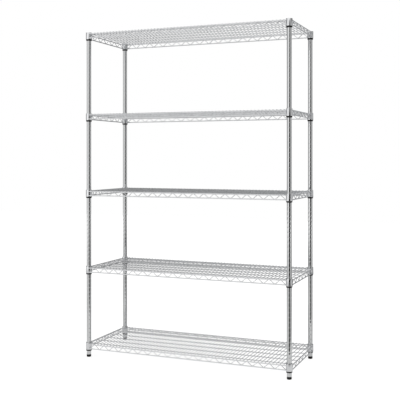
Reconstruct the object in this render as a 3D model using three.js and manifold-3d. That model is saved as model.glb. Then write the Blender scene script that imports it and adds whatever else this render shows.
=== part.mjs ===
// Five-tier chrome wire shelving rack, free-standing, in millimetres.
// Frame: +Z up, +X to the right when facing the rack, front at -Y.
// Origin: on the floor, at the centre of the four posts.
//
// Four round posts carry five welded wire shelves. Each shelf has a collar at each corner, which
// wedges down over a tapered plastic sleeve made of two halves. The shelves stand at whole steps
// of the posts' groove pitch; the grooves themselves are not modelled. Every post has a plug in
// its top and a levelling foot in its bottom.
import * as THREE from "three";
import { mergeVertices } from "three/addons/utils/BufferGeometryUtils.js";
import Module from "manifold-3d";

const wasm = await Module();
wasm.setup();

// ---- Layout ----------------------------------------------------------------------------------
const GROOVE_PITCH = 25.4;
const SPAN_X = 1175; // post centre to post centre, along the width
const SPAN_Y = 423; // post centre to post centre, along the depth
const HALF_X = SPAN_X / 2;
const HALF_Y = SPAN_Y / 2;
const FIRST_LEVEL = 39.3; // height of the lowest sleeve's rim
const LEVEL_STEPS = [0, 17, 34, 51, 69]; // each shelf's place, in grooves above the lowest
const CORNERS = [ // name, side along x, side along y
  ["front_left", -1, -1],
  ["front_right", 1, -1],
  ["rear_left", -1, 1],
  ["rear_right", 1, 1],
];

// ---- Posts, caps and feet: heights are above the floor ---------------------------------------
const POST_SIDES = 16;
const RING_SIDES = 12; // facets of the caps, feet, sleeves and collars

const POST_R = 12.7;
const POST_BORE_R = 11.5;
const POST_BOTTOM = 14.3;
const POST_TOP = 1828.4;
const INSERT_R = 5.6; // bore of the thick-walled insert at the foot of each post
const INSERT_TOP = 36;

const CAP_TOP = 1831;
const CAP_PLUG_R = 10.9;
const CAP_PLUG_DEPTH = 14;
const CAP_GAP = 0.3; // between the post's end and the cap's head
const CAP_TAPER = 0.6; // the head narrows by this much to its top

const FOOT_R = 12.6;
const FOOT_H = 13.4;
const FOOT_BEVEL_R = 1.6; // width and height of the bevel round its underside
const FOOT_BEVEL_H = 2.2;
const STEM_R = 4.9;
const STEM_TOP = 47;

// ---- Sleeves and collars: heights are above the shelf's level --------------------------------
const SLEEVE_BORE_R = 13.45;
const SLEEVE_RIM_R = 15.9;
const SLEEVE_RIM_BOTTOM = -3.7;
const SLEEVE_RIM_TOP = 2.3;
const SLEEVE_R_BOTTOM = 15.35;
const SLEEVE_R_TOP = 14.55;
const SLEEVE_TOP = 40;
const SEAM_GAP = 0.25; // half the gap between a sleeve's two halves
const CUTTER_REACH = 30; // how far the block that halves a sleeve extends, clear of the sleeve

const COLLAR_BOTTOM = 2.6;
const COLLAR_TOP = 41;
const COLLAR_R_BOTTOM = 17.7;
const COLLAR_R_TOP = 16.9;
const COLLAR_BORE_BOTTOM = 15.75;
const COLLAR_BORE_TOP = 14.95;
const BORE_OVERSHOOT = 1; // the bore's cutter passes each end of the collar by this much

// ---- Shelf wires: square sections standing in for round wire ---------------------------------
const RAIL = 5.3; // perimeter wires, as a 6 mm round
const RAIL_OUT = 14.6; // their axes, outside the posts' axes
const RAIL_LOW = 9.2; // axis of the lower wire, above the level
const RAIL_HIGH = 32; // axis of the upper wire, above the level
const RAIL_INSET = 5; // from the post's axis to the wire's end
const RAIL_X = HALF_X + RAIL_OUT;
const RAIL_Y = HALF_Y + RAIL_OUT;
const SHELF_ZERO = RAIL_HIGH + RAIL / 2; // shelf's own z = 0, on top of the upper wires

const BRACE = 3.1; // zigzag wires, as a 3.5 mm round
const BRACE_OFFSET = RAIL / 2 + BRACE / 2 + 0.35; // inwards from the perimeter wires
const BRACE_INSET = 13; // from the post's axis to the brace's end, in the collar's wall
const BRACE_TRIM = 1.2; // the bends stop short of the perimeter wires' axes
const BRACE_WAVES_X = 19;
const BRACE_WAVES_Y = 6;

const SUPPORT = 4.4; // long wires under the deck, as a 5 mm round
const SUPPORT_WIRES = 6; // the outer two pass just inside the collars
const SUPPORT_PITCH = 76;
const SUPPORT_DROP = 0.3; // below the underside of the deck wires

const DECK = 2.84; // cross wires, as a 3.2 mm round
const DECK_WIRES = 60;
const DECK_PITCH = 19.75;
const DECK_END_INSET = 15.5; // the first and last run between collars, short of the posts' axes
const WELD_LAP = 1; // supports run this far into the rails; deck wires stop this short of the edge

// ---- Helpers ---------------------------------------------------------------------------------
function solid(geometry) {
  const bare = geometry.clone();
  bare.deleteAttribute("normal");
  bare.deleteAttribute("uv");
  const merged = mergeVertices(bare, 1e-4);
  return new wasm.Manifold(
    new wasm.Mesh({
      numProp: 3,
      vertProperties: new Float32Array(merged.attributes.position.array),
      triVerts: new Uint32Array(merged.index.array),
    }),
  );
}

function geometryOf(manifold) {
  const mesh = manifold.getMesh();
  const geometry = new THREE.BufferGeometry();
  const positions = new Float32Array(mesh.vertProperties);
  geometry.setAttribute("position", new THREE.BufferAttribute(positions, 3));
  geometry.setIndex(new THREE.BufferAttribute(new Uint32Array(mesh.triVerts), 1));
  const flat = geometry.toNonIndexed();
  flat.computeVertexNormals();
  return flat;
}

// A box between two corners.
function box(x0, y0, z0, x1, y1, z1) {
  const geometry = new THREE.BoxGeometry(x1 - x0, y1 - y0, z1 - z0);
  return geometry.translate((x0 + x1) / 2, (y0 + y1) / 2, (z0 + z1) / 2);
}

// A [radius, height] profile turned about +Z, with a facet facing each of +X, +Y, -X and -Y.
function turned(profile, sides) {
  const points = profile.map(([radius, z]) => new THREE.Vector2(radius, z));
  return new THREE.LatheGeometry(points, sides, Math.PI / sides).rotateX(Math.PI / 2);
}

// A solid cone frustum between two heights.
function frustum(bottomR, bottom, topR, top) {
  return turned([[0, bottom], [bottomR, bottom], [topR, top], [0, top]], RING_SIDES);
}

// ---- One welded shelf, with z = 0 on top of its upper perimeter wires ------------------------
function atCorners(geometry) {
  return [-1, 1].flatMap((sideX) =>
    [-1, 1].map((sideY) =>
      solid(geometry.clone().translate(sideX * HALF_X, sideY * HALF_Y, 0)),
    ),
  );
}

// Tapered corner collars, still without their bores.
function collars() {
  const bottom = COLLAR_BOTTOM - SHELF_ZERO;
  return atCorners(frustum(COLLAR_R_BOTTOM, bottom, COLLAR_R_TOP, COLLAR_TOP - SHELF_ZERO));
}

// Cutters for the collars' bores, carrying the taper on past both ends.
function collarBores() {
  const taper = (COLLAR_BORE_BOTTOM - COLLAR_BORE_TOP) / (COLLAR_TOP - COLLAR_BOTTOM);
  const flare = taper * BORE_OVERSHOOT;
  return atCorners(
    frustum(
      COLLAR_BORE_BOTTOM + flare,
      COLLAR_BOTTOM - SHELF_ZERO - BORE_OVERSHOOT,
      COLLAR_BORE_TOP - flare,
      COLLAR_TOP - SHELF_ZERO + BORE_OVERSHOOT,
    ),
  );
}

// Lower and upper perimeter wires, ending on the collars' walls once the bores are cut.
function rails() {
  const endX = HALF_X - RAIL_INSET;
  const endY = HALF_Y - RAIL_INSET;
  const half = RAIL / 2;
  return [RAIL_LOW - RAIL_HIGH, 0].flatMap((top) =>
    [-1, 1].flatMap((side) => {
      const x = side * RAIL_X;
      const y = side * RAIL_Y;
      return [
        solid(box(-endX, y - half, top - RAIL, endX, y + half, top)),
        solid(box(x - half, -endY, top - RAIL, x + half, endY, top)),
      ];
    }),
  );
}

// An upright zigzag along x, low at both ends, centred on y = 0.
function zigzag(length, waves) {
  const low = RAIL_LOW - SHELF_ZERO + BRACE_TRIM;
  const high = RAIL_HIGH - SHELF_ZERO - BRACE_TRIM;
  const last = waves * 2;
  const path = [];
  for (let i = 0; i <= last; i++) {
    path.push(new THREE.Vector2(-length / 2 + (length * i) / last, i % 2 ? high : low));
  }
  const direction = (from, to) => to.clone().sub(from).normalize();
  const normal = (from, to) => {
    const along = direction(from, to);
    return new THREE.Vector2(-along.y, along.x);
  };

  // The path offset to one side, mitred at each bend.
  const edge = (side) =>
    path.map((point, i) => {
      const offset = (side * BRACE) / 2;
      if (i === 0 || i === last) {
        // The ends are cut square to the length, so that each sinks evenly into its collar.
        const along = direction(path[Math.max(i - 1, 0)], path[Math.min(i + 1, last)]);
        return new THREE.Vector2(point.x, point.y + offset / along.x);
      }
      const before = normal(path[i - 1], point);
      const after = normal(point, path[i + 1]);
      const mitre = before.clone().add(after).normalize();
      return point.clone().addScaledVector(mitre, offset / mitre.dot(before));
    });

  const outline = new THREE.Shape([...edge(1), ...edge(-1).reverse()]);
  const options = { depth: BRACE, steps: 1, bevelEnabled: false };
  return new THREE.ExtrudeGeometry(outline, options)
    .translate(0, 0, -BRACE / 2)
    .rotateX(Math.PI / 2);
}

// Zigzag braces between the upper and lower perimeter wires, just inside them.
function braces() {
  return [-1, 1].flatMap((side) => {
    const alongX = zigzag(SPAN_X - 2 * BRACE_INSET, BRACE_WAVES_X);
    const alongY = zigzag(SPAN_Y - 2 * BRACE_INSET, BRACE_WAVES_Y).rotateZ(Math.PI / 2);
    return [
      solid(alongX.translate(0, side * (RAIL_Y - BRACE_OFFSET), 0)),
      solid(alongY.translate(side * (RAIL_X - BRACE_OFFSET), 0, 0)),
    ];
  });
}

// Long wires between the side wires, just below the deck.
function supports() {
  const endX = RAIL_X - RAIL / 2 + WELD_LAP;
  const top = -SUPPORT_DROP;
  const half = SUPPORT / 2;
  return Array.from({ length: SUPPORT_WIRES }, (_, i) => {
    const y = (i - (SUPPORT_WIRES - 1) / 2) * SUPPORT_PITCH;
    return solid(box(-endX, y - half, top - SUPPORT, endX, y + half, top));
  });
}

// Deck wires, front to back, resting on the upper perimeter wires.
function deckWires() {
  return Array.from({ length: DECK_WIRES }, (_, i) => {
    const x = (i - (DECK_WIRES - 1) / 2) * DECK_PITCH;
    const atCollars = i === 0 || i === DECK_WIRES - 1;
    const endY = atCollars ? HALF_Y - DECK_END_INSET : RAIL_Y + RAIL / 2 - WELD_LAP;
    return solid(box(x - DECK / 2, -endY, 0, x + DECK / 2, endY, DECK));
  });
}

function shelfGeometry() {
  const parts = [...collars(), ...rails(), ...braces(), ...supports(), ...deckWires()];
  return geometryOf(wasm.Manifold.union(parts).subtract(wasm.Manifold.union(collarBores())));
}

// ---- Turned pieces ---------------------------------------------------------------------------
const post = turned(
  [
    [INSERT_R, POST_BOTTOM],
    [POST_R, POST_BOTTOM],
    [POST_R, POST_TOP],
    [POST_BORE_R, POST_TOP],
    [POST_BORE_R, INSERT_TOP],
    [INSERT_R, INSERT_TOP],
    [INSERT_R, POST_BOTTOM],
  ],
  POST_SIDES,
);
const cap = turned(
  [
    [0, POST_TOP - CAP_PLUG_DEPTH],
    [CAP_PLUG_R, POST_TOP - CAP_PLUG_DEPTH],
    [CAP_PLUG_R, POST_TOP + CAP_GAP],
    [POST_R, POST_TOP + CAP_GAP],
    [POST_R - CAP_TAPER, CAP_TOP],
    [0, CAP_TOP],
  ],
  RING_SIDES,
);
const foot = turned(
  [
    [0, 0],
    [FOOT_R - FOOT_BEVEL_R, 0],
    [FOOT_R, FOOT_BEVEL_H],
    [FOOT_R, FOOT_H],
    [STEM_R, FOOT_H],
    [STEM_R, STEM_TOP],
    [0, STEM_TOP],
  ],
  RING_SIDES,
);
const sleeve = turned(
  [
    [SLEEVE_BORE_R, SLEEVE_RIM_BOTTOM],
    [SLEEVE_RIM_R, SLEEVE_RIM_BOTTOM],
    [SLEEVE_RIM_R, SLEEVE_RIM_TOP],
    [SLEEVE_R_BOTTOM, SLEEVE_RIM_TOP],
    [SLEEVE_R_TOP, SLEEVE_TOP],
    [SLEEVE_BORE_R, SLEEVE_TOP],
    [SLEEVE_BORE_R, SLEEVE_RIM_BOTTOM],
  ],
  RING_SIDES,
);

// The half of a sleeve that faces along the given angle from +X.
function sleeveHalf(angle) {
  const reach = CUTTER_REACH;
  const cutter = box(SEAM_GAP, -reach, -reach, reach, reach, SLEEVE_TOP + reach);
  return geometryOf(solid(sleeve).intersect(solid(cutter.rotateZ(angle))));
}

// ---- Materials -------------------------------------------------------------------------------
const material = (color, roughness, metalness) =>
  new THREE.MeshStandardMaterial({ color, roughness, metalness });
const chrome = () => material(0xc9ccce, 0.14, 1);
const wire = () => material(0xbfc3c6, 0.2, 1);
const blackPlastic = () => material(0x161718, 0.5, 0);
const rubber = () => material(0x101010, 0.6, 0);

// ---- Assembly --------------------------------------------------------------------------------
function add(parent, name, geometry, surface, x = 0, y = 0, z = 0) {
  const mesh = new THREE.Mesh(geometry, surface);
  mesh.name = name;
  mesh.position.set(x, y, z);
  parent.add(mesh);
}

const rack = new THREE.Group();

for (const [corner, sideX, sideY] of CORNERS) {
  const upright = new THREE.Group();
  upright.position.set(sideX * HALF_X, sideY * HALF_Y, 0);
  add(upright, `post_${corner}`, post, chrome());
  add(upright, `cap_${corner}`, cap, blackPlastic());
  add(upright, `foot_${corner}`, foot, rubber());
  rack.add(upright);
}

const shelf = shelfGeometry();
LEVEL_STEPS.forEach((steps, i) => {
  const level = new THREE.Group();
  level.position.z = FIRST_LEVEL + steps * GROOVE_PITCH;
  add(level, `shelf_${i + 1}`, shelf, wire(), 0, 0, SHELF_ZERO);
  for (const [corner, sideX, sideY] of CORNERS) {
    const x = sideX * HALF_X;
    const y = sideY * HALF_Y;
    const outward = Math.atan2(sideY, sideX); // away from the rack's middle, on the diagonal
    const name = `sleeve_${i + 1}_${corner}`;
    add(level, `${name}_outer`, sleeveHalf(outward), blackPlastic(), x, y);
    add(level, `${name}_inner`, sleeveHalf(outward + Math.PI), blackPlastic(), x, y);
  }
  rack.add(level);
});

export default rack;
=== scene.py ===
import math

import bmesh
import bpy
import numpy as np
from mathutils import Matrix, Vector


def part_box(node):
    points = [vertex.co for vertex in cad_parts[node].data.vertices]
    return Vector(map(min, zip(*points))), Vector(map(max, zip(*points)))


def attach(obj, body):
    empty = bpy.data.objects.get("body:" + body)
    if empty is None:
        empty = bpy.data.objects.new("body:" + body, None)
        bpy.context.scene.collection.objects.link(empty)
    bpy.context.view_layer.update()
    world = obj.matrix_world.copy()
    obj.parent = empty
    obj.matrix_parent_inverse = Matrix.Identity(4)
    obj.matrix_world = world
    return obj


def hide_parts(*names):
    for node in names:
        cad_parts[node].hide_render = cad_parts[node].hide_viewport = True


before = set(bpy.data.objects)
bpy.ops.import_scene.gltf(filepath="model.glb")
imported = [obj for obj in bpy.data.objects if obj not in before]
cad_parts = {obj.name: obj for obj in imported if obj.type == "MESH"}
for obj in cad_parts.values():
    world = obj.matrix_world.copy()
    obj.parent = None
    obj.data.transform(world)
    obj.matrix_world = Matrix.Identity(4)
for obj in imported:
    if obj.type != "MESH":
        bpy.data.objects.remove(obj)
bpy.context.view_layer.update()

# Five-tier chrome wire shelving rack: the looks. Lengths below are in millimetres and become metres in finish_mesh().
MM = 0.001
CORNERS = ("front_left", "front_right", "rear_left", "rear_right")
LEVELS = (1, 2, 3, 4, 5)

# ---- Places, read from the frame ----------------------------------------------------------------------------------


def middle(node):
    lo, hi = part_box(node)
    return (lo + hi) / 2


CORNER = {c: middle("post_" + c) / MM for c in CORNERS}
HX = (CORNER["front_right"].x - CORNER["front_left"].x) / 2
HY = (CORNER["rear_left"].y - CORNER["front_left"].y) / 2
POST_Z0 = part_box("post_front_left")[0].z / MM
POST_Z1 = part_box("post_front_left")[1].z / MM
CAP_Z1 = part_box("cap_front_left")[1].z / MM
CAP_Z0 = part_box("cap_front_left")[0].z / MM
STEM_Z1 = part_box("foot_front_left")[1].z / MM
LEVEL = {n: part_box(f"sleeve_{n}_front_left_outer")[0].z / MM + 3.7 for n in LEVELS}
DECK_TOP = 37.49  # above the level
GROOVE = 25.4
BEAD = 21.2  # the sleeve's inner bead, above the level

# ---- Mesh code ----------------------------------------------------------------------------------------------------


class Shape:
    """Rings of points and the faces between them."""

    def __init__(self):
        self.points, self.faces, self.count = [], [], 0

    def add(self, p):
        p = np.asarray(p, float).reshape(-1, 3)
        self.points.append(p)
        self.count += len(p)
        return self.count - len(p)

    def grid(self, p, wrap_rows=False, wrap_cols=True):
        """Quads over a rows x cols sheet of points."""
        rows, cols = p.shape[:2]
        start = self.add(p)
        i = np.arange(rows if wrap_rows else rows - 1)
        j = np.arange(cols if wrap_cols else cols - 1)
        i, j = np.meshgrid(i, j, indexing="ij")
        i2, j2 = (i + 1) % rows, (j + 1) % cols
        q = np.stack([i * cols + j, i * cols + j2, i2 * cols + j2, i2 * cols + j], -1)
        self.faces += (q.reshape(-1, 4) + start).tolist()
        return start

    def fan(self, ring, apex):
        """Triangles from one ring of point numbers to a new point."""
        a = self.add([apex])
        n = len(ring)
        self.faces += [[ring[k], ring[(k + 1) % n], a] for k in range(n)]

    def tube(self, path, radius, sides=12, cap=True):
        """A round wire along a path, with its ends turned in like a cropped and tumbled wire's."""
        path = np.asarray(path, float)
        n = len(path)
        radius = np.broadcast_to(np.asarray(radius, float), n).copy()
        t = np.empty_like(path)
        t[1:-1] = path[2:] - path[:-2]
        t[0], t[-1] = path[1] - path[0], path[-1] - path[-2]
        t /= np.linalg.norm(t, axis=1)[:, None]
        if cap:
            r0, r1 = radius[0], radius[-1]
            path = np.concatenate([[path[0] - t[0] * 0.33 * r0, path[0] - t[0] * 0.22 * r0], path,
                                   [path[-1] + t[-1] * 0.22 * r1, path[-1] + t[-1] * 0.33 * r1]])
            radius = np.concatenate([[0.74 * r0, 0.93 * r0], radius, [0.93 * r1, 0.74 * r1]])
            t = np.concatenate([[t[0], t[0]], t, [t[-1], t[-1]]])
        ref = np.array((0.0, 0.0, 1.0)) if abs(t[0][2]) < 0.9 else np.array((1.0, 0.0, 0.0))
        u = np.empty_like(path)
        last = ref
        for i in range(len(path)):
            last = last - t[i] * (last @ t[i])
            last = last / np.linalg.norm(last)
            u[i] = last
        v = np.cross(t, u)
        a = (np.arange(sides) + 0.5) * 2 * math.pi / sides
        p = path[:, None] + radius[:, None, None] * (
            np.cos(a)[None, :, None] * u[:, None] + np.sin(a)[None, :, None] * v[:, None]
        )
        start = self.grid(p)
        rows = len(path)
        self.fan(list(range(start, start + sides))[::-1], path[0] - t[0] * 0.03 * radius[0])
        last_row = start + (rows - 1) * sides
        self.fan(list(range(last_row, last_row + sides)), path[-1] + t[-1] * 0.03 * radius[-1])

    def turn(self, profile, sides, at=(0.0, 0.0), solid=False, shape=None):
        """A profile of (radius, height) turned about a vertical axis. A solid one starts and ends on the axis."""
        profile = np.asarray(profile, float)
        inner = profile[1:-1] if solid else profile
        a = np.arange(sides) * 2 * math.pi / sides
        r = np.repeat(inner[:, :1], sides, 1)
        z = np.repeat(inner[:, 1:], sides, 1)
        if shape is not None:
            r = shape(r, z, a[None, :])
        p = np.stack([at[0] + r * np.cos(a), at[1] + r * np.sin(a), z], -1)
        start = self.grid(p, wrap_rows=not solid)
        if solid:
            self.fan(list(range(start, start + sides)), (at[0], at[1], profile[0][1]))
            last = start + (len(inner) - 1) * sides
            self.fan(list(range(last, last + sides)), (at[0], at[1], profile[-1][1]))

    def blob(self, centre, size, sides=8, rings=3):
        """A small flattened bead of weld metal."""
        centre, size = np.asarray(centre, float), np.asarray(size, float)
        e = np.linspace(-math.pi / 2, math.pi / 2, rings + 2)[1:-1]
        a = np.arange(sides) * 2 * math.pi / sides
        p = np.stack([np.cos(e)[:, None] * np.cos(a), np.cos(e)[:, None] * np.sin(a),
                      np.sin(e)[:, None] * np.ones(sides)], -1)
        start = self.grid(centre + p * size)
        self.fan(list(range(start, start + sides))[::-1], centre - size * (0, 0, 1))
        last = start + (rings - 1) * sides
        self.fan(list(range(last, last + sides)), centre + size * (0, 0, 1))


def rounded(outline, radius, steps=3):
    """A closed outline of (x, y) points with its corners rounded; radius is one number, or one for each corner."""
    outline = [np.array(p, float) for p in outline]
    n = len(outline)
    radius = [radius] * n if np.isscalar(radius) else radius
    out = []
    for i, p in enumerate(outline):
        a, b = outline[i - 1] - p, outline[(i + 1) % n] - p
        la, lb = np.linalg.norm(a), np.linalg.norm(b)
        if radius[i] <= 0:
            out.append(p)
            continue
        cut = min(radius[i], 0.45 * la, 0.45 * lb)
        s, e = p + a / la * cut, p + b / lb * cut
        for k in range(steps + 1):
            t = k / steps
            out.append((1 - t) ** 2 * s + 2 * t * (1 - t) * p + t * t * e)
    return np.array(out)


def finish_mesh(name, shape, sharp=40):
    """The shape as a Blender mesh in metres, faces out, smooth with its sharper edges kept."""
    mesh = bpy.data.meshes.new(name)
    mesh.from_pydata((np.concatenate(shape.points) * MM).tolist(), [], shape.faces)
    bm = bmesh.new()
    bm.from_mesh(mesh)
    bmesh.ops.recalc_face_normals(bm, faces=bm.faces)
    bm.to_mesh(mesh)
    bm.free()
    mesh.polygons.foreach_set("use_smooth", np.ones(len(mesh.polygons), bool))
    mesh.set_sharp_from_angle(angle=math.radians(sharp))
    mesh.validate()
    return mesh


def place(name, mesh, body, material, at=(0, 0, 0), turn=0.0, stands_for=()):
    """A piece made from a mesh, put at a place in millimetres, riding on a body."""
    if material.name not in mesh.materials:
        mesh.materials.append(material)
    o = bpy.data.objects.new(name, mesh)
    bpy.context.scene.collection.objects.link(o)
    o.matrix_world = Matrix.Translation(Vector(at) * MM) @ Matrix.Rotation(turn, 4, "Z")
    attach(o, body)
    if stands_for:
        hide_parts(*stands_for)
    return o


# ---- Materials ----------------------------------------------------------------------------------------------------


class Nodes:
    """Short calls for building a node tree."""

    def __init__(self, tree):
        self.tree = tree
        tree.nodes.clear()

    def new(self, kind, inputs=None, **settings):
        n = self.tree.nodes.new(kind)
        for k, v in settings.items():
            setattr(n, k, v)
        for k, v in (inputs or {}).items():
            if isinstance(v, bpy.types.NodeSocket):
                self.tree.links.new(v, n.inputs[k])
            else:
                n.inputs[k].default_value = v
        return n

    def math(self, op, a, b=0.0, c=0.0, clamp=False):
        n = self.new("ShaderNodeMath", {0: a, 1: b, 2: c}, operation=op, use_clamp=clamp)
        return n.outputs[0]

    def ramp(self, fac, stops, interpolation="LINEAR"):
        n = self.new("ShaderNodeValToRGB", {0: fac})
        r = n.color_ramp
        r.interpolation = interpolation
        while len(r.elements) < len(stops):
            r.elements.new(0.5)
        for e, (pos, col) in zip(r.elements, stops):
            e.position = pos
            e.color = (col, col, col, 1) if np.isscalar(col) else (*col, 1)
        return n.outputs[0]

    def noise(self, vector, scale, detail=4.0, rough=0.55, distortion=0.0):
        n = self.new("ShaderNodeTexNoise", {"Vector": vector, "Scale": scale, "Detail": detail,
                                            "Roughness": rough, "Distortion": distortion})
        return n.outputs[0]

    def stretch(self, vector, scale, shift=None):
        n = self.new("ShaderNodeMapping", {"Vector": vector, "Scale": scale})
        if shift is not None:
            self.tree.links.new(shift, n.inputs["Location"])
        return n.outputs[0]

    def mix(self, fac, a, b, blend="MIX"):
        n = self.new("ShaderNodeMix", data_type="RGBA", blend_type=blend)
        for i, v in ((0, fac), (6, a), (7, b)):
            if isinstance(v, bpy.types.NodeSocket):
                self.tree.links.new(v, n.inputs[i])
            else:
                n.inputs[i].default_value = v if i == 0 else (*v, 1)
        return n.outputs[2]


def material(name):
    m = bpy.data.materials.new(name)
    m.use_nodes = True
    n = Nodes(m.node_tree)
    coord = n.new("ShaderNodeTexCoord").outputs["Object"]
    info = n.new("ShaderNodeObjectInfo").outputs["Random"]
    shift = n.new("ShaderNodeCombineXYZ", {0: n.math("MULTIPLY", info, 3.1), 1: n.math("MULTIPLY", info, 7.7),
                                           2: n.math("MULTIPLY", info, 5.3)}).outputs[0]
    return m, n, n.stretch(coord, (1, 1, 1), shift)


def output(n, shader, displacement=None):
    out = n.new("ShaderNodeOutputMaterial", {"Surface": shader})
    return out


def chrome(name, dark, light, rough, grain_along, tint=(1.0, 1.0, 1.0)):
    """Nickel-chrome plating on drawn steel: faint drawing lines, cloudy patches, fine pitting, and painted shade that
    darkens the hollows.
    """
    m, n, p = material(name)
    cloud = n.noise(p, 9.0, 5.0, 0.6, 0.4)
    lines = n.noise(n.stretch(p, grain_along), 1.0, 3.0, 0.6)
    pits = n.noise(p, 1400.0, 2.0, 0.6)
    smudge = n.noise(p, 38.0, 6.0, 0.7, 0.8)
    # painted shade: darker in concave hollows such as the grooves, a touch lighter on ridges
    painted_hollow_shade = n.ramp(n.new("ShaderNodeNewGeometry").outputs["Pointiness"], [(0.46, 0.82), (0.5, 1.0), (0.56, 1.04)])
    c = [tuple(v * t for t in tint) for v in (dark, light)]
    base = n.ramp(n.math("ADD", n.math("MULTIPLY", cloud, 0.6), n.math("MULTIPLY", smudge, 0.4)),
                  [(0.3, c[0]), (0.7, c[1])])
    base = n.mix(1.0, base, painted_hollow_shade, "MULTIPLY")
    r = n.math("MULTIPLY_ADD", cloud, rough * 0.7, rough * 0.55)
    r = n.math("MULTIPLY_ADD", lines, rough * 0.5, r)
    r = n.math("ADD", r, n.ramp(smudge, [(0.55, 0.0), (0.8, 0.07)]))
    h = n.math("MULTIPLY_ADD", lines, 0.6, n.math("MULTIPLY", pits, 0.25))
    bump = n.new("ShaderNodeBump", {"Strength": 0.05, "Distance": 0.0004, "Height": h})
    s = n.new("ShaderNodeBsdfPrincipled", {"Base Color": base, "Metallic": 1.0, "Roughness": r,
                                           "Normal": bump.outputs[0]})
    s.inputs["Specular Tint"].default_value = (0.97, 0.985, 1.0, 1)
    output(n, s.outputs[0])
    return m


def plastic(name, dark, light, rough, grain, dust=None):
    """Moulded plastic: a fine spark-eroded grain, cloudy sheen, and pale dust low down if asked for."""
    m, n, p = material(name)
    cloud = n.noise(p, 55.0, 5.0, 0.6, 0.3)
    fine = n.noise(p, grain, 3.0, 0.6)
    scuff = n.noise(n.stretch(p, (120, 120, 900)), 1.0, 4.0, 0.65, 1.2)
    base = n.ramp(cloud, [(0.3, (dark, dark, dark * 1.06)), (0.75, (light, light, light * 1.05))])
    base = n.mix(n.ramp(scuff, [(0.62, 0.0), (0.72, 0.35)]), base, (light * 2.6, light * 2.6, light * 2.6))
    if dust is not None:
        z = n.new("ShaderNodeSeparateXYZ", {0: n.new("ShaderNodeTexCoord").outputs["Object"]}).outputs[2]
        near = n.new("ShaderNodeMapRange", {0: z, 1: 0.0, 2: dust, 3: 0.30, 4: 0.0}).outputs[0]
        base = n.mix(n.math("MULTIPLY", near, n.noise(p, 260.0, 4.0), clamp=True), base, (0.09, 0.085, 0.08))
    r = n.math("MULTIPLY_ADD", cloud, 0.22, rough)
    r = n.math("MULTIPLY_ADD", fine, 0.12, r)
    h = n.math("MULTIPLY_ADD", fine, 1.0, n.math("MULTIPLY", scuff, 0.3))
    bump = n.new("ShaderNodeBump", {"Strength": 0.22, "Distance": 0.00015, "Height": h})
    s = n.new("ShaderNodeBsdfPrincipled", {"Base Color": base, "Roughness": r, "Normal": bump.outputs[0],
                                           "IOR": 1.46})
    s.inputs["Specular IOR Level"].default_value = 0.2
    output(n, s.outputs[0])
    return m


def zinc(name):
    """Bright zinc plating on the levelling screws and their inserts, with painted shade between the threads."""
    m, n, p = material(name)
    spangle = n.new("ShaderNodeTexVoronoi", {"Vector": p, "Scale": 420.0}).outputs["Distance"]
    cloud = n.noise(p, 60.0, 5.0, 0.6)
    # painted shade: darker in the hollows between threads, a little lighter on the crests
    painted_hollow_shade = n.ramp(n.new("ShaderNodeNewGeometry").outputs["Pointiness"], [(0.42, 0.35), (0.5, 0.9), (0.58, 1.1)])
    base = n.ramp(n.math("ADD", n.math("MULTIPLY", cloud, 0.7), n.math("MULTIPLY", spangle, 0.3)),
                  [(0.25, (0.36, 0.36, 0.34)), (0.75, (0.56, 0.56, 0.54))])
    base = n.mix(1.0, base, painted_hollow_shade, "MULTIPLY")
    r = n.math("MULTIPLY_ADD", cloud, 0.25, 0.22)
    bump = n.new("ShaderNodeBump", {"Strength": 0.1, "Distance": 0.0002, "Height": n.noise(p, 900.0, 3.0)})
    s = n.new("ShaderNodeBsdfPrincipled", {"Base Color": base, "Metallic": 1.0, "Roughness": r,
                                           "Normal": bump.outputs[0]})
    output(n, s.outputs[0])
    return m


POST_CHROME = chrome("chromed_tube", 0.60, 0.67, 0.035, (260, 260, 3), (0.985, 0.995, 1.0))
WIRE_CHROME = chrome("chromed_wire", 0.68, 0.76, 0.15, (90, 90, 90), (0.975, 0.985, 1.0))
BLACK = plastic("black_nylon", 0.006, 0.011, 0.42, 1500.0)
FOOT_BLACK = plastic("black_foot_plastic", 0.008, 0.014, 0.42, 1100.0, dust=0.006)
ZINC = zinc("zinc_plated_steel")

# ---- Posts: chromed tube, grooved every 25.4 mm -----------------------------------------------------------------------
POST_R, BORE_R, SIDES = 12.7, 11.5, 48


def post_mesh():
    s = Shape()
    outer = [(POST_R - 0.32, POST_Z0), (POST_R - 0.08, POST_Z0 + 0.12), (POST_R, POST_Z0 + 0.4), (POST_R, POST_Z0 + 0.9)]
    k = math.ceil((POST_Z0 + 9 - LEVEL[1] - BEAD) / GROOVE)
    z = LEVEL[1] + BEAD + k * GROOVE
    while z < POST_Z1 - 6:
        for dz, depth in ((-1.85, 0), (-1.5, 0.01), (-1.15, 0.09), (-0.6, 0.38), (0, 0.5),
                          (0.6, 0.38), (1.15, 0.09), (1.5, 0.01), (1.85, 0)):
            outer.append((POST_R - depth, z + dz))
        z += GROOVE
    outer += [(POST_R, POST_Z1 - 0.9), (POST_R, POST_Z1 - 0.4), (POST_R - 0.08, POST_Z1 - 0.12), (POST_R - 0.32, POST_Z1)]
    inner = [(BORE_R + 0.2, POST_Z1), (BORE_R, POST_Z1 - 0.25), (BORE_R, POST_Z0 + 0.25), (BORE_R + 0.2, POST_Z0)]
    s.turn(outer + inner, SIDES)
    return finish_mesh("grooved_tube", s, 50)


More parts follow.
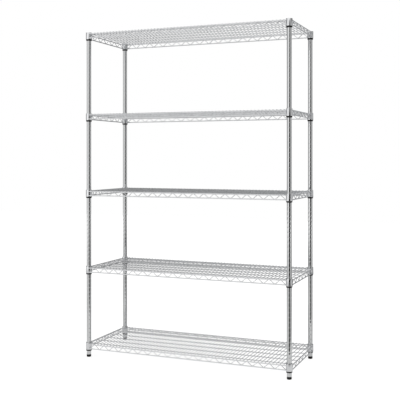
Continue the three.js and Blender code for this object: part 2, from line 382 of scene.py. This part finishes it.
def insert_mesh():
    """The threaded insert pressed into the bottom of a post: a flanged bush with gripping fins."""
    s = Shape()
    z0, z1 = POST_Z0 + 0.15, POST_Z0 + 21.7
    profile = rounded([(5.6, z0), (11.3, z0), (11.42, z0 + 1.6), (11.1, z0 + 2.2), (11.42, z0 + 5.5), (10.9, z0 + 6.4),
                       (11.42, z0 + 10.5), (10.9, z0 + 11.4), (11.4, z0 + 15.5), (10.7, z1), (5.6, z1)], 0.4, 2)

    def fins(r, z, a):
        cut = np.clip((np.cos(a * 8) - 0.2) * 1.6, 0, 1) * np.clip((z - z0 - 2.2) / 1.0, 0, 1)
        return np.where(r > 9.5, r - 1.6 * cut, r)

    s.turn(profile, 64, shape=fins)
    return finish_mesh("threaded_insert", s, 40)


def cap_mesh():
    """The plug in the top of a post: a low domed head over a barbed stalk."""
    s = Shape()
    top, seat, end = CAP_Z1, POST_Z1 + 0.15, CAP_Z0
    profile = [(0, top), (3.0, top - 0.03), (6.5, top - 0.16), (9.4, top - 0.42), (11.3, top - 0.78), (12.2, top - 1.15),
               (12.55, top - 1.55), (12.6, seat + 0.35), (12.45, seat), (11.1, seat), (10.8, seat - 0.35)]
    for k in range(3):
        z = seat - 1.6 - 3.4 * k
        profile += [(10.6, z + 0.6), (11.32, z), (11.36, z - 0.35), (10.6, z - 2.2)]
    profile += [(10.4, end + 1.2), (9.6, end + 0.15), (8.8, end), (0, end)]
    s.turn(profile, 56, solid=True)
    return finish_mesh("barbed_cap", s, 45)


# ---- Feet: a levelling pad on a threaded stem ----------------------------------------------------------------------------
FOOT_R, FOOT_H, STEM_R = 12.6, 13.4, 4.78


def foot_mesh():
    s = Shape()
    profile = [(0, 0.0), (4, 0.0), (8.6, 0.0), (10.4, 0.18), (11.6, 0.75), (12.25, 1.7), (FOOT_R, 3.1), (FOOT_R, 4.0),
               (FOOT_R, 5.4), (FOOT_R, 7.2), (FOOT_R, 9.2), (FOOT_R, 10.8), (FOOT_R - 0.05, 11.7), (12.2, 12.75),
               (11.3, 13.3), (9.6, FOOT_H), (6.6, FOOT_H), (5.4, FOOT_H - 0.15), (0, FOOT_H - 0.2)]

    def grips(r, z, a):
        groove = np.clip(np.cos(a * 20) - 0.25, 0, 1) / 0.75
        band = np.clip((z - 3.4) / 1.6, 0, 1) * np.clip((11.9 - z) / 1.4, 0, 1)
        return np.where(r > 12.0, r - 0.45 * groove * band, r)

    s.turn(profile, 160, solid=True, shape=grips)
    return finish_mesh("levelling_pad", s, 40)


def stem_mesh():
    """A 3/8 inch, 16 threads per inch screw, as a true helix."""
    s = Shape()
    pitch, sides, z0, z1 = 1.5875, 40, FOOT_H - 3.0, STEM_Z1
    rows = int((z1 - z0) / pitch * 10)
    a = np.arange(sides) * 2 * math.pi / sides
    z = np.linspace(z0, z1, rows + 1)
    turn = (z[:, None] / pitch - a[None, :] / (2 * math.pi)) % 1.0
    thread = np.clip(np.abs(turn - 0.5) * 2.7 - 0.2, 0, 1)
    r = STEM_R - 0.85 * thread
    fade = np.clip((z1 - z) / 1.6, 0, 1)[:, None] * 0.9 + 0.1
    root = STEM_R - 0.95
    r = np.where(fade < 1, root + (r - root) * np.clip(fade, 0, 1), r)
    r = np.where((z < FOOT_H + 0.5)[:, None], STEM_R - 0.3, r)
    p = np.stack([r * np.cos(a), r * np.sin(a), np.repeat(z[:, None], sides, 1)], -1)
    start = s.grid(p)
    s.fan(list(range(start, start + sides)), (0, 0, z0))
    last = start + rows * sides
    s.fan(list(range(last, last + sides)), (0, 0, z1))
    return finish_mesh("threaded_stem", s, 60)


# ---- Sleeves: two tapered plastic halves clipped round the post ---------------------------------------------------------
def sleeve_mesh():
    """One half, facing +X, from -90 to +90 degrees less the seam's gap."""
    s = Shape()
    outline = rounded(
        [(13.0, -4.3), (15.72, -4.3), (15.72, 2.05), (15.28, 2.4), (14.98, 17.5), (14.86, 18.0), (14.86, 24.4),
         (14.78, 24.9), (14.52, 40.0), (13.05, 40.0),
         (13.0, BEAD + 1.9), (12.75, BEAD + 1.25), (12.40, BEAD + 0.35), (12.40, BEAD - 0.35), (12.75, BEAD - 1.25),
         (13.0, BEAD - 1.9)],
        [0.35, 0.55, 0.3, 0.15, 0.2, 0.1, 0.1, 0.2, 0.5, 0.3, 0.25, 0.2, 0.2, 0.2, 0.2, 0.25], 2)
    steps = 36
    r, z = outline[:, 0], outline[:, 1]
    rows = []
    for k in range(steps + 1):
        f = k / steps * 2 - 1
        gap = 0.25 + 0.22 * (k in (0, steps))  # the seam's edges are eased
        a = f * (math.pi / 2 - gap / 14.2) if k in (0, steps) else f * (math.pi / 2 - 0.25 / 14.2)
        if k in (1, steps - 1):
            a = math.copysign(math.pi / 2 - 0.25 / 14.2 - 0.03, f)
        rows.append(np.stack([r * math.cos(a), r * math.sin(a), z], -1))
    p = np.array(rows)
    start = s.grid(p, wrap_rows=False, wrap_cols=True)
    m = len(outline)
    s.faces.append(list(range(start, start + m))[::-1])
    s.faces.append(list(range(start + steps * m, start + (steps + 1) * m)))
    return finish_mesh("sleeve_half", s, 35)


# ---- Shelf: round wires welded to four collars ---------------------------------------------------------------------------
RAIL_R, BRACE_R, SUPPORT_R, DECK_R = 2.85, 1.75, 2.5, 1.6
LOW, HIGH = 9.2, 32.0
RAIL_OUT = 14.6  # the perimeter wires run this far outside the post axes
DECK_WIRES, DECK_PITCH = 60, 19.75
COLLAR_Z0, COLLAR_Z1 = 2.6, 41.0


def collar_r(z):
    return 17.45 + (16.9 - 17.45) * (z - COLLAR_Z0) / (COLLAR_Z1 - COLLAR_Z0)


def flare(length, r, grow=1.28, reach=2.6):
    """Distances along a straight wire and its radius there, swelling into the weld at both ends."""
    d = np.array([0, reach * 0.35, reach * 0.7, reach, reach * 1.6])
    g = np.array([grow, 1 + (grow - 1) * 0.5, 1 + (grow - 1) * 0.13, 1.0, 1.0])
    return np.concatenate([d, length - d[::-1]]), r * np.concatenate([g, g[::-1]])


def straight(s, a, b, r, sides, grow=1.0):
    a, b = np.array(a, float), np.array(b, float)
    length = np.linalg.norm(b - a)
    d, radius = flare(length, r, grow)
    s.tube(a + (b - a) * (d / length)[:, None], radius, sides)


def wave(length, waves, low, high, per_wave=26, k=0.93):
    """A bent zigzag, low at both ends, with rounded bends: along it, and its height."""
    n = waves * per_wave
    x = np.linspace(-length / 2, length / 2, n + 1)
    w = -np.cos((x + length / 2) / length * waves * 2 * math.pi)
    return x, (low + high) / 2 + (high - low) / 2 * np.arcsin(k * w) / math.asin(k)


def shelf_mesh():
    s = Shape()
    # collars
    for sx in (-1, 1):
        for sy in (-1, 1):
            profile = rounded([(15.75, COLLAR_Z0), (collar_r(COLLAR_Z0), COLLAR_Z0), (collar_r(COLLAR_Z1), COLLAR_Z1),
                               (14.95, COLLAR_Z1)], [0.4, 0.8, 0.8, 0.4], 4)
            s.turn(profile, 72, at=(sx * HX, sy * HY))
    # perimeter wires, flush with the outer sides of the collars, each end ground away where it meets its collar
    rx, ry = HX + RAIL_OUT, HY + RAIL_OUT
    e = np.array([1.0, 3.0, 5.0, 7.0, 9.0, 10.4, 11.2, 14.0, 18.0])
    inner = np.sqrt(np.maximum(15.9 ** 2 - e ** 2, 0))
    reach = RAIL_OUT + RAIL_R
    radius = np.clip((reach - inner) / 2, 0.6, RAIL_R)
    for z in (LOW, HIGH):
        for q in (-1, 1):
            for along, half, other in ((0, HX, HY), (1, HY, HX)):
                t = np.concatenate([-half + e, (half - e)[::-1]])
                r = np.concatenate([radius, radius[::-1]])
                pts = np.zeros((len(t), 3))
                pts[:, along], pts[:, 1 - along], pts[:, 2] = t, q * (other + reach - r), z
                s.tube(pts, r, 20)
                for end in (-1, 1):
                    at, size = [0, 0, z], [2.9, 2.9, 2.7]
                    at[along], at[1 - along] = end * (half - 9.6), q * (other + 15.0)
                    size[along], size[1 - along] = 4.6, 1.9
                    s.blob(tuple(at), tuple(size))
    # zigzag braces inside them, touching both
    inset = RAIL_R + BRACE_R - 0.4
    zl, zh = LOW + 1.0, HIGH - 1.0
    for q in (-1, 1):
        x, z = wave(2 * HX - 27, 19, zl, zh)
        s.tube(np.stack([x, np.full_like(x, q * (ry - inset)), z], -1), BRACE_R, 10)
        y, z2 = wave(2 * HY - 27, 6, zl, zh)
        s.tube(np.stack([np.full_like(y, q * (rx - inset)), y, z2], -1), BRACE_R, 10)
        for k in range(1, 38):
            at = -HX + 13.5 + (2 * HX - 27) * k / 38
            s.blob((at, q * (ry - RAIL_R + 0.1), HIGH - 0.6 if k % 2 else LOW + 0.6), (2.6, 1.3, 1.1))
        for k in range(1, 12):
            at = -HY + 13.5 + (2 * HY - 27) * k / 12
            s.blob((q * (rx - RAIL_R + 0.1), at, HIGH - 0.6 if k % 2 else LOW + 0.6), (1.3, 2.6, 1.1))
    # long support wires under the deck, butted to the side wires
    deck_z = DECK_TOP - DECK_R
    support_z = deck_z - DECK_R - SUPPORT_R + 0.55
    supports = [-190, -114, -38, 38, 114, 190]
    for y in supports:
        straight(s, (-rx + RAIL_R - 0.1, y, support_z), (rx - RAIL_R + 0.1, y, support_z), SUPPORT_R, 16, 1.2)
    # deck wires on top, welded where they cross; the first and the last run from collar to collar
    for i in range(DECK_WIRES):
        x = (i - (DECK_WIRES - 1) / 2) * DECK_PITCH
        outer = i in (0, DECK_WIRES - 1)
        end = HY - 15.6 if outer else ry + RAIL_R - 1.35
        s.tube([(x, -end, deck_z), (x, -end + 3, deck_z), (x, end - 3, deck_z), (x, end, deck_z)], DECK_R, 12)
        for y in () if outer else (-ry, ry):
            s.blob((x, y, HIGH + RAIL_R - 0.15), (2.15, 2.0, 0.8))
        for y in supports:
            s.blob((x, y, support_z + SUPPORT_R - 0.15), (2.05, 1.9, 0.7))
    return finish_mesh("welded_shelf", s, 55)


# ---- Assembly ---------------------------------------------------------------------------------------------------------
meshes = {"post": post_mesh(), "insert": insert_mesh(), "cap": cap_mesh(), "foot": foot_mesh(), "stem": stem_mesh(),
          "sleeve": sleeve_mesh(), "shelf": shelf_mesh()}
for key, m in meshes.items():
    print("mesh", key, len(m.vertices), "vertices", sum(len(p.vertices) - 2 for p in m.polygons), "triangles")

for c in CORNERS:
    x, y = CORNER[c].x, CORNER[c].y
    place("post_tube_" + c, meshes["post"], "posts", POST_CHROME, (x, y, 0), stands_for=("post_" + c,))
    place("post_insert_" + c, meshes["insert"], "posts", ZINC, (x, y, 0))
    place("post_cap_" + c, meshes["cap"], "posts", BLACK, (x, y, 0), stands_for=("cap_" + c,))
    place("foot_pad_" + c, meshes["foot"], "foot_" + c, FOOT_BLACK, (x, y, 0), stands_for=("foot_" + c,))
    place("foot_screw_" + c, meshes["stem"], "foot_" + c, ZINC, (x, y, 0))

for n in LEVELS:
    place(f"wire_shelf_{n}", meshes["shelf"], f"shelf_{n}", WIRE_CHROME, (0, 0, LEVEL[n]),
          stands_for=(f"shelf_{n}",))
    for c in CORNERS:
        x, y = CORNER[c].x, CORNER[c].y
        out = math.atan2(math.copysign(1, y), math.copysign(1, x))
        for half, a in (("outer", out), ("inner", out + math.pi)):
            place(f"sleeve_half_{n}_{c}_{half}", meshes["sleeve"], f"sleeves_{n}", BLACK,
                  (x, y, LEVEL[n]), a, (f"sleeve_{n}_{c}_{half}",))

# ---- Stage: pale floor, plain studio light -------------------------------------------------------------------------------
scene = bpy.context.scene
scene.view_settings.view_transform = "Standard"
scene.view_settings.look = "None"


def stage_plane(name, corners, mat):
    mesh = bpy.data.meshes.new(name)
    mesh.from_pydata([Vector(c) * MM for c in corners], [], [(0, 1, 2, 3)])
    mesh.materials.append(mat)
    o = bpy.data.objects.new(name, mesh)
    scene.collection.objects.link(o)
    return o


def card(name, centre, width, z0, z1, mat):
    """An upright card that only reflections see, facing the rack's middle."""
    cx, cy = centre
    d = Vector((-cx, -cy, 0)).normalized()
    side = Vector((-d.y, d.x, 0)) * width / 2
    a, b = Vector((cx, cy, z0)), Vector((cx, cy, z1))
    o = stage_plane(name, [a - side, a + side, b + side, b - side], mat)
    o.visible_camera = o.visible_diffuse = o.visible_shadow = o.visible_transmission = False
    o.visible_volume_scatter = False
    return o


def glow(name, build):
    """A light-emitting material; build(nodes) gives its brightness."""
    m = bpy.data.materials.new(name)
    m.use_nodes = True
    n = Nodes(m.node_tree)
    value = build(n)
    e = n.new("ShaderNodeEmission", {"Strength": 1.0})
    n.tree.links.new(value, e.inputs[0]) if isinstance(value, bpy.types.NodeSocket) else setattr(
        e.inputs[0], "default_value", (value, value, value, 1))
    output(n, e.outputs[0])
    if hasattr(m, "cycles"):
        m.cycles.emission_sampling = "NONE"
    return m


def floor_material():
    m = bpy.data.materials.new("pale_floor")
    m.use_nodes = True
    n = Nodes(m.node_tree)
    p = n.new("ShaderNodeTexCoord").outputs["Object"]
    tone = n.ramp(n.noise(p, 1.3, 3.0), [(0.3, 0.935), (0.7, 0.95)])
    # painted reflection: to reflections only, the floor's tone is replaced by a darker one set by distance from the
    # middle and darker towards the rear
    seen = n.new("ShaderNodeLightPath").outputs["Is Glossy Ray"]
    painted_reflection_tone = n.math("MULTIPLY", n.new("ShaderNodeVectorMath", {0: p}, operation="LENGTH").outputs["Value"], 0.1)
    painted_reflection_tone = n.ramp(painted_reflection_tone, [(0.0, 0.70), (0.10, 0.70), (0.22, 0.60), (0.45, 0.74), (0.9, 1.05)])
    depth = n.new("ShaderNodeSeparateXYZ", {0: p}).outputs[1]
    rear = n.new("ShaderNodeMapRange", {0: depth, 1: -0.3, 2: 1.2, 3: 1.0, 4: 0.36},
                 interpolation_type="SMOOTHSTEP").outputs[0]
    painted_reflection_tone = n.math("MULTIPLY", painted_reflection_tone, rear)
    tone = n.mix(seen, tone, painted_reflection_tone)
    shade = n.new("ShaderNodeBsdfDiffuse", {"Color": n.mix(1.0, tone, (0.30, 0.30, 0.30), "MULTIPLY")})
    light = n.new("ShaderNodeEmission", {"Color": tone, "Strength": 0.84})
    output(n, n.new("ShaderNodeAddShader", {0: shade.outputs[0], 1: light.outputs[0]}).outputs[0])
    if hasattr(m, "cycles"):
        m.cycles.emission_sampling = "NONE"
    return m


floor = stage_plane("floor", [(-9000, -9000, 0), (9000, -9000, 0), (9000, 9000, 0), (-9000, 9000, 0)],
                    floor_material())


def dark_card(n):
    # darkest in the middle of its height, fading towards its ends
    z = n.new("ShaderNodeSeparateXYZ", {0: n.new("ShaderNodeTexCoord").outputs["Generated"]}).outputs[2]
    return n.ramp(z, [(0.0, 0.01), (0.18, 0.01), (0.34, 0.04), (0.46, 0.08), (0.64, 0.20), (0.79, 0.30), (1.0, 0.5)])


# painted reflection: a dark sheet seen only in reflections, putting shade into the chrome where the room around is dark
card("dark_card", (2139, -3134), 3900, 0, 2800, glow("dark_card", dark_card))


def dark_mat(n):
    return n.ramp(n.noise(n.new("ShaderNodeTexCoord").outputs["Object"], 2.0, 2.0), [(0.3, 0.09), (0.7, 0.13)])


# painted reflection: a dark patch on the floor, seen only in reflections, that darkens the floor as the chrome mirrors
# it
mat = stage_plane("dark_mat", [(420, -800, 1), (1500, -420, 1), (3750, -2034, 1), (528, -4234, 1)],
                  glow("dark_mat", dark_mat))
mat.visible_camera = mat.visible_diffuse = mat.visible_shadow = mat.visible_transmission = False

world = bpy.data.worlds.new("studio")
scene.world = world
world.use_nodes = True
w = Nodes(world.node_tree)
direction = w.new("ShaderNodeSeparateXYZ", {0: w.new("ShaderNodeTexCoord").outputs["Generated"]})
dx, dy, dz = direction.outputs
around = w.math("ARCTAN2", dx, w.math("MULTIPLY", dy, -1.0))  # 0 towards the front, growing towards +X
around = w.math("MULTIPLY_ADD", around, 1 / (2 * math.pi), 0.5)


def az(degrees):
    return 0.5 + degrees / 360


horizon = w.ramp(around, [(0.0, 0.64), (az(-150), 0.64), (az(-120), 0.50), (az(-72), 0.50), (az(-56), 0.75),
                          (az(-44), 1.20), (az(-4), 1.25), (az(20), 0.9), (az(60), 0.62), (az(112), 0.54),
                          (az(140), 0.60), (1.0, 0.64)])
high_front = w.ramp(dz, [(0.0, 1.0), (0.12, 1.12), (0.45, 1.15), (0.75, 0.95), (1.0, 0.95)])
high_rear = w.ramp(dz, [(0.0, 0.34), (0.12, 0.30), (0.30, 0.24), (0.55, 0.34), (0.8, 0.70)])
front = w.ramp(around, [(0.0, 0.0), (az(-75), 0.0), (az(-50), 1.0), (az(40), 1.0), (az(70), 0.0), (1.0, 0.0)])
high = w.mix(front, high_rear, high_front)
lift = w.new("ShaderNodeMapRange", {0: dz, 1: 0.10, 2: 0.30, 3: 0.0, 4: 1.0}, interpolation_type="SMOOTHSTEP").outputs[0]
env = w.mix(lift, horizon, high)
path = w.new("ShaderNodeLightPath")
env = w.mix(path.outputs["Is Glossy Ray"], (1.12, 1.12, 1.12), env)
env = w.mix(path.outputs["Is Camera Ray"], env, (1.0, 1.0, 1.0))
bg = w.new("ShaderNodeBackground", {"Color": env, "Strength": 1.0})
w.new("ShaderNodeOutputWorld", {"Surface": bg.outputs[0]})
if hasattr(world, "cycles"):
    world.cycles.sampling_method = "NONE"

# ---- Camera: level, with a shifted frame, so that the posts stay upright --------------------------------------------------
cam = bpy.data.objects.new("camera", bpy.data.cameras.new("camera"))
scene.collection.objects.link(cam)
yaw = -0.38055
forward = Vector((math.sin(yaw), math.cos(yaw), 0))
cam.location = Vector((1644.359, -3879.150, 1126.550)) * MM
cam.rotation_euler = forward.to_track_quat("-Z", "Y").to_euler()
cam.data.sensor_width = 36
cam.data.lens = 67.2675
cam.data.clip_start, cam.data.clip_end = 0.1, 100
for axis, value in (("shift_x", -0.035733), ("shift_y", -0.106183)):
    setattr(cam.data, axis, value)
    driver = cam.data.driver_add(axis).driver
    driver.type = "SCRIPTED"
    v = driver.variables.new()
    v.name = "x"
    v.type = "TRANSFORMS"
    v.targets[0].id = cam
    v.targets[0].transform_type = "LOC_X"
    v.targets[0].transform_space = "WORLD_SPACE"
    driver.expression = f"{value} if abs(x - {cam.location.x:.6f}) < 0.002 else 0.0"
scene.camera = cam
